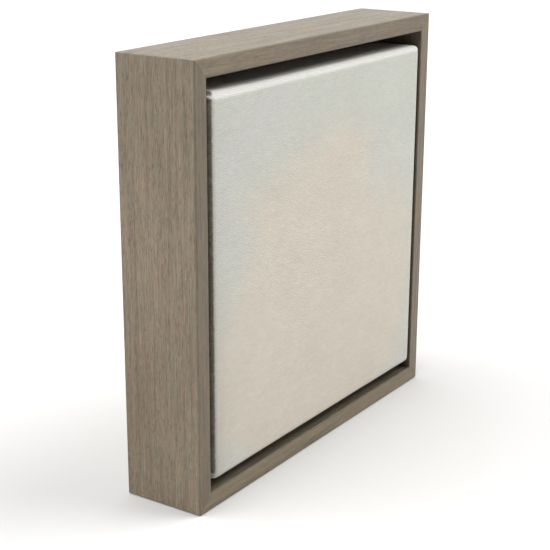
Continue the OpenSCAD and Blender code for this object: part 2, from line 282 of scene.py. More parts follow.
def softwood(name, upright, seed, light, dark, ring, knots=()):
    """Planed softwood with growth lines along the piece and small knots."""
    g = Graph(name)
    x, y, z = g.position()
    along, across = (z, x) if upright else (x, z)
    wob = g.noise(g.vec(g.mul(across, 0.02), g.add(g.mul(y, 0.02), seed), g.mul(along, 0.012)), 2.0, 0.5)
    # Rings are cut at a slant, so they show as lines on every long face.
    r = g.add(g.add(g.mul(across, 0.9), g.mul(y, 0.55)), g.mul(g.sub(wob, 0.5), 26.0))
    near = None
    for ka, kc, size in knots:
        d = g.math("SQRT", g.add(g.math("POWER", g.mul(g.sub(along, ka), 0.55), 2.0), g.math("POWER", g.sub(across, kc), 2.0)))
        push = g.mul(g.math("EXPONENT", g.mul(g.math("POWER", g.mul(d, 1 / (size * 2.2)), 2.0), -1.0)), size * 1.6)
        r = g.add(r, push)
        near = d if near is None else g.low(near, d)
    phase = g.math("FRACT", g.add(g.mul(r, 1 / ring), seed))
    late = g.mul(g.step(phase, 0.25, 0.86), g.step(phase, 1.0, 0.90))
    fibre = g.noise(g.vec(g.mul(across, 2.4), g.mul(y, 2.4), g.add(g.mul(along, 0.07), seed)), 3.0, 0.6)
    cloud = g.noise(g.vec(g.mul(across, 0.05), g.add(g.mul(y, 0.05), seed), g.mul(along, 0.02)), 2.0, 0.5)
    colour = g.mix(g.mul(late, 0.62), light, dark)
    colour = g.shade(colour, g.add(g.span(fibre, 0.3, 0.7, 0.92, 1.08), g.span(cloud, 0.3, 0.7, -0.06, 0.06)))
    if near is not None:
        size = knots[0][2]
        core = g.step(near, size * 0.95, size * 0.55)
        colour = g.mix(g.mul(core, 0.8), colour, (0.19, 0.085, 0.032))
        colour = g.mix(g.mul(g.mul(g.step(near, size * 1.25, size * 0.95), g.sub(1.0, core)), 0.65), colour, (0.10, 0.045, 0.02))
    height_mm = g.add(g.mul(g.sub(fibre, 0.5), 0.05), g.mul(late, 0.02))
    return g.finish(colour, g.span(fibre, 0.3, 0.7, 0.52, 0.66), g.bump(height_mm), IOR=1.45)


def beech(name, upright, seed):
    """Pale hardwood with short darker ray flecks."""
    g = Graph(name)
    x, y, z = g.position()
    along, across = (z, x) if upright else (x, z)
    fleck_n = g.noise(g.vec(g.mul(across, 3.4), g.add(g.mul(y, 3.4), seed), g.mul(along, 0.75)), 1.0, 0.5)
    fibre = g.noise(g.vec(g.mul(across, 2.0), g.add(g.mul(y, 2.0), seed), g.mul(along, 0.10)), 3.0, 0.6)
    cloud = g.noise(g.vec(g.add(g.mul(across, 0.12), seed), g.mul(y, 0.12), g.mul(along, 0.04)), 2.0, 0.5)
    fleck = g.step(fleck_n, 0.60, 0.70)
    colour = g.mix(g.step(cloud, 0.3, 0.7), (0.60, 0.385, 0.225), (0.66, 0.455, 0.285))
    colour = g.shade(colour, g.span(fibre, 0.3, 0.7, 0.90, 1.08))
    colour = g.mix(g.mul(fleck, 0.45), colour, (0.33, 0.175, 0.085))
    return g.finish(colour, g.span(fibre, 0.3, 0.7, 0.45, 0.6), g.bump(g.add(g.mul(g.sub(fibre, 0.5), 0.04), g.mul(fleck, -0.02))))


def metal(name, tint, rough, seed, spots=0.0, brushed=0.0):
    """Plated steel: a little cloudy, with fine scratches and dull spots."""
    g = Graph(name)
    x, y, z = g.position()
    cloud = g.noise(g.vec(g.add(g.mul(x, 0.30), seed), g.mul(y, 0.30), g.mul(z, 0.30)), 3.0, 0.6)
    grit = g.noise(g.vec(g.add(g.mul(x, 2.6), seed), g.mul(y, 2.6), g.mul(z, 2.6)), 2.0, 0.5)
    line = g.noise(g.vec(g.mul(x, 5.0), g.mul(y, 5.0), g.add(g.mul(z, 0.35), seed)), 1.0, 0.5)
    dull = g.step(grit, 0.60, 0.72)
    colour = g.shade(tint, g.span(cloud, 0.3, 0.7, 0.88, 1.06))
    colour = g.mix(g.mul(dull, spots), colour, tuple(0.55 * c for c in tint))
    r = g.add(g.span(cloud, 0.3, 0.7, rough - 0.05, rough + 0.08), g.mul(dull, 0.12))
    height_mm = g.add(g.mul(g.sub(grit, 0.5), 0.010), g.mul(g.sub(line, 0.5), 0.010 * brushed))
    return g.finish(colour, r, g.bump(height_mm), Metallic=1.0)


def rubber(name):
    g = Graph(name)
    x, y, z = g.position()
    speck = g.noise(g.vec(g.mul(x, 1.9), g.mul(y, 1.9), g.mul(z, 1.9)), 3.0, 0.6)
    dust = g.noise(g.vec(g.mul(x, 0.5), g.mul(y, 0.5), g.mul(z, 0.5)), 3.0, 0.65)
    colour = g.mix(g.step(dust, 0.45, 0.75), (0.018, 0.018, 0.018), (0.060, 0.057, 0.053))
    return g.finish(colour, g.span(speck, 0.3, 0.7, 0.50, 0.72), g.bump(g.mul(g.sub(speck, 0.5), 0.07)))


def weave(g, pitch, flat_first, crimp, slack):
    """Height of a plain weave from 0 to 1, with the thread's own unevenness. The threads lie along the two directions of
    whichever face the point is on. flat_first is how much the upright threads lie under the level ones, crimp how deep
    the level ones dip under them, and slack how thin a level thread gets."""
    x, y, z = g.position()
    nx, ny, nz = g.facing()
    ax, ay, az = g.absolute(nx), g.absolute(ny), g.absolute(nz)
    on_x = g.math("GREATER_THAN", ax, g.high(ay, az))
    on_z = g.math("GREATER_THAN", az, g.high(ax, ay))
    # level thread direction u, upright direction v
    u = g.add(g.mul(on_x, y), g.mul(g.sub(1.0, on_x), x))
    v = g.add(g.mul(on_z, y), g.mul(g.sub(1.0, on_z), z))
    drift_u = g.noise(g.vec(g.mul(u, 0.05), g.mul(v, 0.16), 3.1), 2.0, 0.5)
    drift_v = g.noise(g.vec(g.mul(u, 0.11), g.mul(v, 0.05), 9.7), 2.0, 0.5)
    su = g.add(g.mul(u, 1 / pitch), g.mul(g.sub(drift_u, 0.5), 0.9))
    sv = g.add(g.mul(v, 1 / pitch), g.mul(g.sub(drift_v, 0.5), 0.9))
    i, j = g.math("FLOOR", su), g.math("FLOOR", sv)
    pi = math.pi
    level_profile = g.absolute(g.math("SINE", g.mul(sv, pi)))
    upright_profile = g.absolute(g.math("SINE", g.mul(su, pi)))
    level_over = g.add(0.5, g.mul(g.math("SINE", g.mul(g.add(su, j), pi)), 0.5))
    upright_over = g.sub(0.5, g.mul(g.math("SINE", g.mul(g.add(sv, i), pi)), 0.5))
    slub = g.noise(g.vec(g.mul(su, 0.20), g.mul(g.add(j, 0.37), 1.7), 5.0), 1.0, 0.5)
    slub_v = g.noise(g.vec(g.add(i, 0.61), g.mul(sv, 0.13), 8.0), 1.0, 0.5)
    level = g.mul(g.mul(level_profile, g.add(1.0 - crimp, g.mul(level_over, crimp))), g.span(slub, 0.28, 0.72, slack, 1.75 - slack))
    dip = min(1.0, 2.4 * crimp)
    upright = g.mul(g.mul(upright_profile, g.add(1.0 - dip, g.mul(upright_over, dip))), g.mul(g.span(slub_v, 0.25, 0.75, 0.7, 1.15), flat_first))
    return g.high(level, upright), u, v, slub


def painted_cloth():
    """The primed side: white ground with a pale, soft-edged wash over the face. The left and right sides are made dark
    as painted shade, which stops raggedly part of the way back, and surfaces turned upwards get a painted highlight."""
    g = Graph("primed_canvas_front")
    x, y, z = g.position()
    nx, ny, nz = g.facing(even=True)
    height, u, v, slub = weave(g, 1.02, 0.42, 0.08, 0.62)
    lo, hi = box_mm("canvas")
    cx, cz = (lo.x + hi.x) / 2, (lo.z + hi.z) / 2
    # a warm bloom spreading from the lower half, its edge soft and wandering
    wander = g.noise(g.vec(g.mul(x, 0.017), g.mul(z, 0.017), 2.3), 2.0, 0.5)
    fray = g.noise(g.vec(g.mul(x, 0.070), g.mul(z, 0.070), 7.9), 3.0, 0.6)
    dx = g.mul(g.sub(x, cx - 6.0), 1 / 112.0)
    dz = g.mul(g.sub(z, cz - 36.0), 1 / 112.0)
    far = g.math("SQRT", g.add(g.mul(dx, dx), g.mul(dz, dz)))
    far = g.add(far, g.add(g.mul(g.sub(wander, 0.5), 0.80), g.mul(g.sub(fray, 0.5), 0.24)))
    bloom = g.step(far, 1.12, 0.66)
    cool, warm = (0.618, 0.626, 0.566), (0.678, 0.622, 0.533)
    colour = g.mix(bloom, cool, warm)
    mottle = g.noise(g.vec(g.mul(x, 0.05), g.mul(z, 0.05), 4.4), 4.0, 0.6)
    brush = g.noise(g.vec(g.mul(x, 0.028), g.mul(z, 0.42), 6.1), 3.0, 0.6)
    grey = g.step(g.noise(g.vec(g.mul(x, 0.016), g.mul(z, 0.022), 12.7), 2.0, 0.5), 0.48, 0.66)
    colour = g.mix(g.mul(grey, g.sub(0.45, g.mul(bloom, 0.4))), colour, (0.628, 0.628, 0.610))
    colour = g.shade(colour, g.add(1.0, g.add(g.span(mottle, 0.3, 0.7, -0.022, 0.022), g.span(brush, 0.3, 0.7, -0.018, 0.018))))
    # painted shade: darker towards the left edge, most towards the lower left corner, and lighter from left to right
    # across the face
    from_left = g.sub(x, lo.x)
    left_edge_painted_shade = g.mul(g.math("EXPONENT", g.mul(from_left, -1 / 11.0)), g.span(z, hi.z, lo.z, 0.05, 0.22))
    colour = g.shade(colour, g.sub(g.span(x, lo.x, hi.x, 0.965, 1.02), left_edge_painted_shade))
    # painted highlight: surfaces turned upwards, the round of the top edge most, are made paler
    upward_painted_highlight = g.step(g.add(nz, g.mul(g.sub(fray, 0.5), 0.25)), 0.04, 0.40)
    colour = g.mix(upward_painted_highlight, colour, (0.800, 0.795, 0.765))
    # the dark painted shade on the sides stops raggedly part of the way back; behind it the primer shows
    ragged = g.sub(g.noise(g.vec(g.mul(u, 0.09), g.mul(v, 0.09), 1.7), 3.0, 0.6), 0.5)
    edge = g.add(y, g.mul(ragged, 9.0))
    primed = g.step(edge, 1.0, 4.5)
    wobble = g.sub(g.noise(g.vec(g.mul(x, 0.30), g.mul(y, 0.30), g.mul(z, 0.30)), 3.0, 0.6), 0.5)
    # painted shade: the left and right sides are made dark, short of the top and bottom edges, standing in for the
    # shade in the side gaps
    turned = g.step(g.add(g.absolute(nx), g.mul(wobble, 0.26)), 0.52, 0.76)
    turned = g.mul(turned, g.mul(g.step(g.sub(hi.z, z), 1.9, 3.1), g.step(g.sub(z, lo.z), 3.2, 4.4)))
    streak = g.noise(g.vec(g.mul(x, 0.35), g.mul(y, 0.10), g.mul(z, 0.35)), 3.0, 0.6)
    # the colour of that painted shade, streaked
    dark = g.shade((0.168, 0.152, 0.112), g.span(streak, 0.3, 0.7, 0.75, 1.25))
    colour = g.mix(turned, colour, dark)
    colour = g.mix(primed, colour, (0.700, 0.690, 0.655))
    # painted shade: the weave's hollows are darker than the tops of its threads
    colour = g.shade(colour, g.span(height, 0.0, 1.0, 0.815, 0.993))
    colour = g.shade(colour, g.span(slub, 0.25, 0.75, 0.98, 1.02))
    # handling marks along the turn-over
    marks = g.mul(g.step(g.noise(g.vec(g.mul(x, 0.07), g.mul(y, 0.07), g.mul(z, 0.07)), 4.0, 0.65), 0.56, 0.78), g.step(y, -2.0, 14.0))
    colour = g.mix(g.mul(marks, 0.25), colour, (0.50, 0.47, 0.40))
    rough = g.add(g.span(slub, 0.3, 0.7, 0.70, 0.80), g.span(height, 0.0, 1.0, 0.08, 0.0))
    grain = g.noise(g.vec(g.mul(x, 3.2), g.mul(y, 3.2), g.mul(z, 3.2)), 2.0, 0.6)
    height_mm = g.add(g.mul(height, 0.15), g.mul(g.sub(grain, 0.5), 0.03))
    return g.finish(colour, rough, g.bump(height_mm), IOR=1.42)


def raw_cloth():
    """The unprimed side of cotton duck, with seed flecks."""
    g = Graph("raw_cotton_back")
    x, y, z = g.position()
    height, u, v, slub = weave(g, 1.02, 1.0, 0.34, 0.45)
    cloud = g.noise(g.vec(g.mul(u, 0.03), g.mul(v, 0.03), 1.0), 3.0, 0.5)
    fleck = g.step(g.noise(g.vec(g.mul(u, 0.9), g.mul(v, 1.6), 5.0), 2.0, 0.5), 0.72, 0.78)
    colour = g.mix(g.step(cloud, 0.3, 0.7), (0.62, 0.545, 0.415), (0.69, 0.62, 0.49))
    # painted shade: the weave's hollows are darker than the tops of its threads; thick and thin threads differ a little
    # too
    colour = g.shade(colour, g.mul(g.span(height, 0.0, 1.0, 0.72, 1.06), g.span(slub, 0.3, 0.7, 0.95, 1.05)))
    colour = g.mix(g.mul(fleck, 0.6), colour, (0.20, 0.13, 0.07))
    hair = g.noise(g.vec(g.mul(u, 4.0), g.mul(v, 4.0), 2.0), 3.0, 0.7)
    height_mm = g.add(g.mul(height, 0.17), g.mul(g.sub(hair, 0.5), 0.05))
    return g.finish(colour, 0.92, g.bump(height_mm), Sheen_Weight=0.15)


# ---------------------------------------------------------------- the canvas


def smooth(v, a, b):
    t = np.clip((np.asarray(v, float) - a) / (b - a), 0.0, 1.0)
    return t * t * (3 - 2 * t)


def bell(v, centre, width):
    return np.exp(-(((np.asarray(v, float) - centre) / width) ** 2))


class Outline:
    """Points round a rectangle with rounded corners, the same number for every inset, so that rings of it can be skinned.
    They run along the bottom, up the right, back along the top and down the left, seen from the front."""

    ARC = 18

    def __init__(self, half_x, half_z, mid_x, mid_z, radius):
        self.hx, self.hz, self.xc, self.zc, self.r = half_x, half_z, mid_x, mid_z, radius
        self.fx = self.spread(2 * (half_x - radius))
        self.fz = self.spread(2 * (half_z - radius))
        arc = np.arange(1, self.ARC) / self.ARC * math.pi / 2
        parts = []
        for side, f in enumerate((self.fx, self.fz, self.fx, self.fz)):
            parts += [(side, 0, t, 0.0) for t in f]
            parts += [(side, 1, 0.0, a) for a in arc]
        self.side = np.array([p[0] for p in parts])
        self.is_arc = np.array([p[1] for p in parts], bool)
        self.f = np.array([p[2] for p in parts])
        self.a = np.array([p[3] for p in parts])
        turn = self.side * math.pi / 2 - math.pi / 2 + np.where(self.is_arc, self.a, 0.0)
        self.nx, self.nz = np.cos(turn), np.sin(turn)
        # distance along the outline from where the upright side meets the corner's round; it grows towards the level side
        length_x, length_z = 2 * (half_x - radius), 2 * (half_z - radius)
        quarter = radius * math.pi / 2
        level = self.side % 2 == 0
        run = np.where(level, self.f * length_x, self.f * length_z)
        rest = np.where(level, (1 - self.f) * length_x, (1 - self.f) * length_z)
        d = np.minimum(run, rest)
        self.sigma = np.where(
            self.is_arc,
            np.where(level, (math.pi / 2 - self.a) * radius, self.a * radius),
            np.where(level, quarter + d, -d),
        )
        # 0 bottom right, 1 top right, 2 top left, 3 bottom left
        nearer_end = np.where(run > rest, self.side, (self.side + 3) % 4)
        self.corner = np.where(self.is_arc, self.side, nearer_end)
        self.n = len(parts)

    @staticmethod
    def spread(length):
        near = np.array([0, 0.35, 0.7, 1.05, 1.4, 1.75, 2.15, 2.6, 3.1, 3.7, 4.4, 5.2, 6.2, 7.4, 8.8, 10.5])
        mid = np.linspace(10.5, length - 10.5, int(round((length - 21) / 2.05)) + 1)
        return np.concatenate([near, mid[1:-1], (length - near)[::-1]]) / length

    def at(self, inset, radius=None):
        r = self.r if radius is None else radius
        m = max(r, inset)
        hx, hz, k = self.hx - m, self.hz - m, max(r - inset, 0.0)
        gap = m - inset
        f = self.f * 2 - 1
        x = np.select(
            [self.is_arc, self.side == 0, self.side == 1, self.side == 2],
            [0.0, f * hx, hx + gap, -f * hx],
            -(hx + gap),
        )
        z = np.select(
            [self.is_arc, self.side == 0, self.side == 1, self.side == 2],
            [0.0, -(hz + gap), f * hz, hz + gap],
            -f * hz,
        )
        cx = np.where((self.side == 0) | (self.side == 1), hx, -hx)
        cz = np.where((self.side == 1) | (self.side == 2), hz, -hz)
        x = np.where(self.is_arc, cx + k * self.nx, x)
        z = np.where(self.is_arc, cz + k * self.nz, z)
        return x + self.xc, z + self.zc

    def blend(self, level_top, others):
        """One number per point: level_top along the top, the other value elsewhere, changing over in the top corners."""
        t = np.clip(self.a / (math.pi / 2), 0, 1)
        t = t * t * (3 - 2 * t)
        w = np.where(self.is_arc, np.select([self.side == 1, self.side == 2], [t, 1 - t], 0.0), (self.side == 2) * 1.0)
        return others + (level_top - others) * w


def gentle(a, b, seed):
    """Slow, even waviness from -1 to 1, in millimetres of a and b."""
    rng = np.random.default_rng(seed)
    total = np.zeros(np.broadcast(a, b).shape)
    for _ in range(7):
        k = rng.uniform(0.04, 0.16)
        turn, phase = rng.uniform(0, 2 * math.pi, 2)
        total += np.sin(k * (a * math.cos(turn) + b * math.sin(turn)) + phase)
    return total / 7


lo, hi = box_mm("canvas")
bar_lo, bar_hi = box_mm("stretcher_bar_left")
CLOTH = 0.5
FACE_Y = lo.y
BACK_Y = bar_hi.y + CLOTH
TURN = 27.5
# The front edge is a quarter ellipse: its depth, then its width along the face at the top and on the other sides.
EDGE_DEEP, EDGE_TOP, EDGE_SIDE, BACK_EDGE = 3.3, 4.6, 3.2, 1.0
CORNER = 5.0
BORDER = 5.6
outline = Outline((hi.x - lo.x) / 2, (hi.z - lo.z) / 2, (hi.x + lo.x) / 2, (hi.z + lo.z) / 2, CORNER)

# Ear, groove and flap of the gallery fold at each corner: bottom right, top right, top left, bottom left.
EAR = np.array([1.65, 0.0, 1.35, 1.20])
EAR_AT = np.array([3.9, 2.2, 2.9, 4.2])
EAR_WIDE = np.array([1.55, 1.5, 0.70, 1.4])
GROOVE_AT = np.array([7.4, 5.6, 4.5, 6.7])
FLAP = np.array([0.45, 0.0, 0.75, 0.55])
FOLDED = np.array([1.0, 0.0, 1.0, 1.0])


def side_swell(y):
    """How far each point of a ring at depth y stands out from the plain outline."""
    s, c = outline.sigma, outline.corner
    opened = smooth(y, FACE_Y + 0.2, FACE_Y + 3.0)
    back = smooth(y, FACE_Y + 6, BACK_Y)
    ear = EAR[c] * bell(s, EAR_AT[c], EAR_WIDE[c]) * (1 - 0.55 * back)
    groove_w = 0.55 + 0.55 * opened - 0.35 * back
    groove = -0.20 * FOLDED[c] * bell(s, GROOVE_AT[c], groove_w) * smooth(y, FACE_Y + 2.4, FACE_Y + 5.0)
    start = GROOVE_AT[c] + 0.55 + 0.35 * (opened - back)
    flap = FLAP[c] * smooth(s, start, start + 0.55) * np.exp(-np.clip(s - start, 0, None) / 13.0)
    # the tucked layer under the flap ends along a slanting line
    tuck_end = 37.0 - 0.45 * (y - FACE_Y)
    flap += 0.22 * FOLDED[c] * smooth(s, start, start + 0.6) * smooth(s, tuck_end + 1.2, tuck_end)
    under = 0.20 * smooth(s, -14.0, -1.0) * (s < 1.5)
    run = np.where(outline.side % 2 == 0, outline.f * 203, outline.f * 197)
    slack = 0.07 * gentle(run, y * 1.6 + outline.side * 71.0, 5)
    nx = np.clip(outline.nx, 0.2, 1.0)
    room = np.where(outline.nx > 0.2, (0.62 + CORNER * (1 - nx)) / nx, 2.5)
    return np.minimum((ear + groove + flap + under) * opened + slack * smooth(np.abs(s), 4, 12), room)


def back_rise(x, z):
    """How far the turned-over cloth stands off the bars at each point: flat at the staples, a little slack between them,
    and thick where the corner is folded."""
    p = outline.hx - np.abs(x - outline.xc)
    q = outline.hz - np.abs(z - outline.zc)
    d = p - q
    level = smooth(d, 0.25, 0.75) * smooth(p, 30.5, 27.0)
    level = level * (0.70 - 0.16 * smooth(d, 4, 24))
    upright = smooth(-d, -0.10, 0.5) * (0.40 * smooth(q, 24.0, 17.5) + 0.18 * smooth(q, 30.0, 27.0))
    crease = -0.16 * bell(d, 0.15, 0.35) * smooth(np.minimum(p, q), 29, 24)
    fold = np.where(np.minimum(p, q) < 29.5, level + upright + crease, 0.0)
    # slack between staples: they sit every 28 mm, 21 mm in from the edge
    along = np.where(p < q, (z - outline.zc) * (outline.hx - CLOTH) / (outline.hz - CLOTH), x - outline.xc)
    near = np.abs((along + 14 + 280) % 28 - 14)
    inset = np.minimum(p, q)
    loose = smooth(inset, 2.0, 19.0) * smooth(near, 4.5, 13.0) * smooth(np.maximum(p, q), 32, 42)
    wavy = 0.14 * loose * (1 + 0.6 * gentle(x, z, 23))
    lift = 0.32 * loose * smooth(inset, 22.5, 27.5) * (0.6 + 0.9 * np.clip(gentle(x * 1.7, z * 1.7, 31), -0.4, 1))
    return np.clip(fold + wavy + lift, -0.05, 0.70) * smooth(inset, 0.4, 2.0)


def rings(skin):
    """Rings from the cut edge of the turn-over, over the back and the side, to where the face begins. skin is how far
    this side of the cloth lies inside the outer one."""
    out = []
    outer = skin == 0
    cut = 0.35 * gentle(outline.sigma * 3 + outline.corner * 50.0, outline.f * 60 + outline.side * 40.0, 3) if outer else None
    cut_in = 0.35 * gentle(outline.sigma * 3 + outline.corner * 50.0, outline.f * 60 + outline.side * 40.0, 3)
    steps = np.concatenate([np.linspace(TURN, 19.0, 8 if outer else 3), np.linspace(18.0, BACK_EDGE + 0.01, 16 if outer else 3)])
    for k, d in enumerate(steps):
        x, z = outline.at(d)
        fade = smooth(d, 20.0, TURN)
        # the cut edge wanders; its corners stay put
        straight = smooth(np.abs(outline.sigma), 3.0, 9.0) * (~outline.is_arc)
        shift = (cut if outer else cut_in) * fade * straight
        x, z = x - outline.nx * shift, z - outline.nz * shift
        y = BACK_Y - skin + (back_rise(x, z) if outer else 0.0)
        if not outer and k == 0:
            y = BACK_Y - skin + back_rise(x, z) * 0.75
        out.append((x, y + np.zeros(outline.n), z))
    r_back = max(BACK_EDGE - skin, 0.3)
    for a in (20, 45, 70) if outer else (45,):
        t = math.radians(a)
        d = skin + r_back * (1 - math.sin(t))
        x, z = outline.at(d)
        y = BACK_Y - skin - r_back * (1 - math.cos(t))
        grow = side_swell(BACK_Y - 1.0) * math.sin(t) if outer else 0.0
        out.append((x + outline.nx * grow, np.full(outline.n, y), z + outline.nz * grow))
    y0, y1 = BACK_Y - BACK_EDGE - 0.05, FACE_Y + EDGE_DEEP
    depth = np.concatenate([np.linspace(y0, y1 + 8, 16), np.linspace(y1 + 7, y1, 10)]) if outer else np.array([y0, 0.0, y1])
    for y in depth:
        x, z = outline.at(skin)
        grow = side_swell(y) if outer else 0.0
        out.append((x + outline.nx * grow, np.full(outline.n, y), z + outline.nz * grow))
    # the edge's round gets shallow where two sides meet, so the cloth lies over the tips of the bars
    deep = EDGE_DEEP - (EDGE_DEEP - 1.45) * np.where(outline.is_arc, np.sin(2 * outline.a) ** 2, 0.0) - skin
    weight = outline.blend(1.0, 0.0)
    for a in (8, 16, 24, 32, 40, 48, 56, 63, 70, 76, 83, 90) if outer else (25, 50, 70, 90):
        t = math.radians(a)
        ends = [outline.at(skin + (w - skin) * (1 - math.cos(t))) for w in (EDGE_SIDE, EDGE_TOP)]
        x, z = ((1 - weight) * e + weight * f for e, f in zip(*ends))
        y = FACE_Y + skin + deep * (1 - math.sin(t))
        grow = side_swell(y) * math.cos(t) ** 1.5 if outer else 0.0
        out.append((x + outline.nx * grow, y, z + outline.nz * grow))
    return out


def face_grid(skin):
    m = BORDER
    x = outline.xc - (outline.hx - m) + outline.fx * 2 * (outline.hx - m)
    z = outline.zc - (outline.hz - m) + outline.fz * 2 * (outline.hz - m)
    gx, gz = np.meshgrid(x, z)
    u, v = (gx - outline.xc) / (outline.hx - m), (gz - outline.zc) / (outline.hz - m)
    inside = (1 - u ** 4) * (1 - v ** 4)
    dish = 0.16 * (1 - u ** 2) * (1 - v ** 2)
    wave = 0.030 * gentle(gx, gz, 11) * inside
    return gx, FACE_Y + skin + dish + wave, gz


def loose_threads(bm):
    """Short ends of yarn left along the cut edge, lying on the bars."""
    rng = np.random.default_rng(44)
    sides = 5
    around = np.arange(sides) / sides * 2 * math.pi
    for _ in range(110):
        i = int(rng.integers(outline.n))
        x, z = outline.at(TURN)
        if outline.is_arc[i] or abs(outline.sigma[i]) < 34:
            continue
        inward = np.array([-outline.nx[i], 0.0, -outline.nz[i]])
        along = np.array([-outline.nz[i], 0.0, outline.nx[i]]) * rng.choice([-1, 1])
        slant = rng.uniform(0.0, 1.1) if rng.random() < 0.6 else rng.uniform(1.1, 1.5)
        heading = inward * math.cos(slant) + along * math.sin(slant)
        bend = np.cross(heading, (0, 1, 0)) * rng.uniform(-0.5, 0.5)
        length, radius = rng.uniform(1.2, 5.0), rng.uniform(0.10, 0.17)
        start = np.array([x[i], BACK_Y - 0.26, z[i]]) - inward * 0.5
        t = np.linspace(0, 1, 7)[:, None]
        path = start + heading * t * length + bend * (t ** 2) * length
        path[:, 1] += (t[:, 0] ** 1.6) * rng.uniform(0.0, 0.55)
        loops = []
        for k in range(len(path)):
            a, b = path[max(k - 1, 0)], path[min(k + 1, len(path) - 1)]
            tangent = (b - a) / np.linalg.norm(b - a)
            p = np.cross(tangent, (0, 1, 0))
            p = p / np.linalg.norm(p)
            q = np.cross(p, tangent)
            r = radius * (1 - 0.45 * k / (len(path) - 1))
            ring = [path[k] + r * (math.cos(w) * p + math.sin(w) * q) for w in around]
            loops.append([bm.verts.new(tuple(v * MM)) for v in ring])
        for r0, r1 in zip(loops, loops[1:]):
            for j in range(sides):
                bm.faces.new((r0[j], r0[(j + 1) % sides], r1[(j + 1) % sides], r1[j])).material_index = 1
        bm.faces.new(loops[0][::-1]).material_index = 1
        bm.faces.new(loops[-1]).material_index = 1


def build_canvas():
    bm = bmesh.new()

    def shell(skin, material):
        stack = []
        for x, y, z in rings(skin):
            stack.append([bm.verts.new((a * MM, b * MM, c * MM)) for a, b, c in zip(x, y, z)])
        n = outline.n
        for r0, r1 in zip(stack, stack[1:]):
            for i in range(n):
                j = (i + 1) % n
                f = bm.faces.new((r0[i], r0[j], r1[j], r1[i]))
                f.material_index = material
        gx, gy, gz = face_grid(skin)
        rows, cols = gx.shape
        grid = [[bm.verts.new((gx[i, j] * MM, gy[i, j] * MM, gz[i, j] * MM)) for j in range(cols)] for i in range(rows)]
        for i in range(rows - 1):
            for j in range(cols - 1):
                f = bm.faces.new((grid[i][j], grid[i][j + 1], grid[i + 1][j + 1], grid[i + 1][j]))
                f.material_index = material
        # The last ring meets the grid's border; the rounds of its corners each close on one grid corner.
        border = {}
        for i in range(n):
            s, arc, k = outline.side[i], outline.is_arc[i], None
            if not arc:
                near = np.argmin(np.abs((outline.fx if s % 2 == 0 else outline.fz) - outline.f[i]))
                k = {0: (0, near), 1: (near, cols - 1), 2: (rows - 1, cols - 1 - near), 3: (rows - 1 - near, 0)}[int(s)]
            else:
                k = {0: (0, cols - 1), 1: (rows - 1, cols - 1), 2: (rows - 1, 0), 3: (0, 0)}[int(s)]
            border[i] = grid[k[0]][k[1]]
        last = stack[-1]
        for i in range(n):
            j = (i + 1) % n
            loop = [last[i], last[j], border[j], border[i]]
            if border[i] is border[j]:
                loop = loop[:3]
            f = bm.faces.new(loop)
            f.material_index = material
        return stack[0]

    outer = shell(0.0, 0)
    inner = shell(CLOTH, 1)
    loose_threads(bm)
    n = outline.n
    for i in range(n):
        j = (i + 1) % n
        f = bm.faces.new((outer[j], outer[i], inner[i], inner[j]))
        f.material_index = 1
    bmesh.ops.remove_doubles(bm, verts=bm.verts, dist=2e-6)
    bmesh.ops.recalc_face_normals(bm, faces=bm.faces)
    for f in bm.faces:
        f.smooth = True
    mesh = bpy.data.meshes.new("canvas_cloth")
    bm.to_mesh(mesh)
    bm.free()
    ob = bpy.data.objects.new("canvas_cloth", mesh)
    scene.collection.objects.link(ob)
    mesh.materials.append(painted_cloth())
    mesh.materials.append(raw_cloth())
    return ob


canvas_cloth = build_canvas()
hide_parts("canvas")
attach(canvas_cloth, "frame_and_canvas")

# ---------------------------------------------------------------- CAD pieces


def smooth_by_angle(degrees):
    """A modifier group that shades everything smoothly but the edges sharper than this."""
    group = bpy.data.node_groups.new("smooth_by_angle", "GeometryNodeTree")
    group.interface.new_socket("Geometry", in_out="INPUT", socket_type="NodeSocketGeometry")
    group.interface.new_socket("Geometry", in_out="OUTPUT", socket_type="NodeSocketGeometry")
    start, end = group.nodes.new("NodeGroupInput"), group.nodes.new("NodeGroupOutput")
    faces = group.nodes.new("GeometryNodeSetShadeSmooth")
    edges = group.nodes.new("GeometryNodeSetShadeSmooth")
    faces.domain, edges.domain = "FACE", "EDGE"
    angle = group.nodes.new("GeometryNodeInputMeshEdgeAngle")
    sharper = group.nodes.new("ShaderNodeMath")
    sharper.operation = "GREATER_THAN"
    sharper.inputs[1].default_value = math.radians(degrees)
    link = group.links.new
    link(angle.outputs["Unsigned Angle"], sharper.inputs[0])
    link(start.outputs[0], faces.inputs["Geometry"])
    link(faces.outputs["Geometry"], edges.inputs["Geometry"])
    link(sharper.outputs[0], edges.inputs["Selection"])
    faces.inputs["Shade Smooth"].default_value = True
    edges.inputs["Shade Smooth"].default_value = False
    link(edges.outputs["Geometry"], end.inputs[0])
    return group


SMOOTHER = smooth_by_angle(32)


def dress(name, material, bevel=0.0):
    """Gives a CAD node its material, softens its sharp edges and shades its curves smoothly."""
    ob = nodes[name]
    ob.data.materials.clear()
    ob.data.materials.append(material)
    weld = ob.modifiers.new("weld", "WELD")
    weld.merge_threshold = 1e-6
    if bevel:
        b = ob.modifiers.new("soft_edges", "BEVEL")
        b.width = bevel * MM
        b.segments = 2
        b.limit_method = "ANGLE"
        b.angle_limit = math.radians(38)
        b.use_clamp_overlap = True
        b.harden_normals = False
    ob.modifiers.new("smooth", "NODES").node_group = SMOOTHER
    even = ob.modifiers.new("even_normals", "WEIGHTED_NORMAL")
    even.weight = 100
    even.keep_sharp = True
    return ob


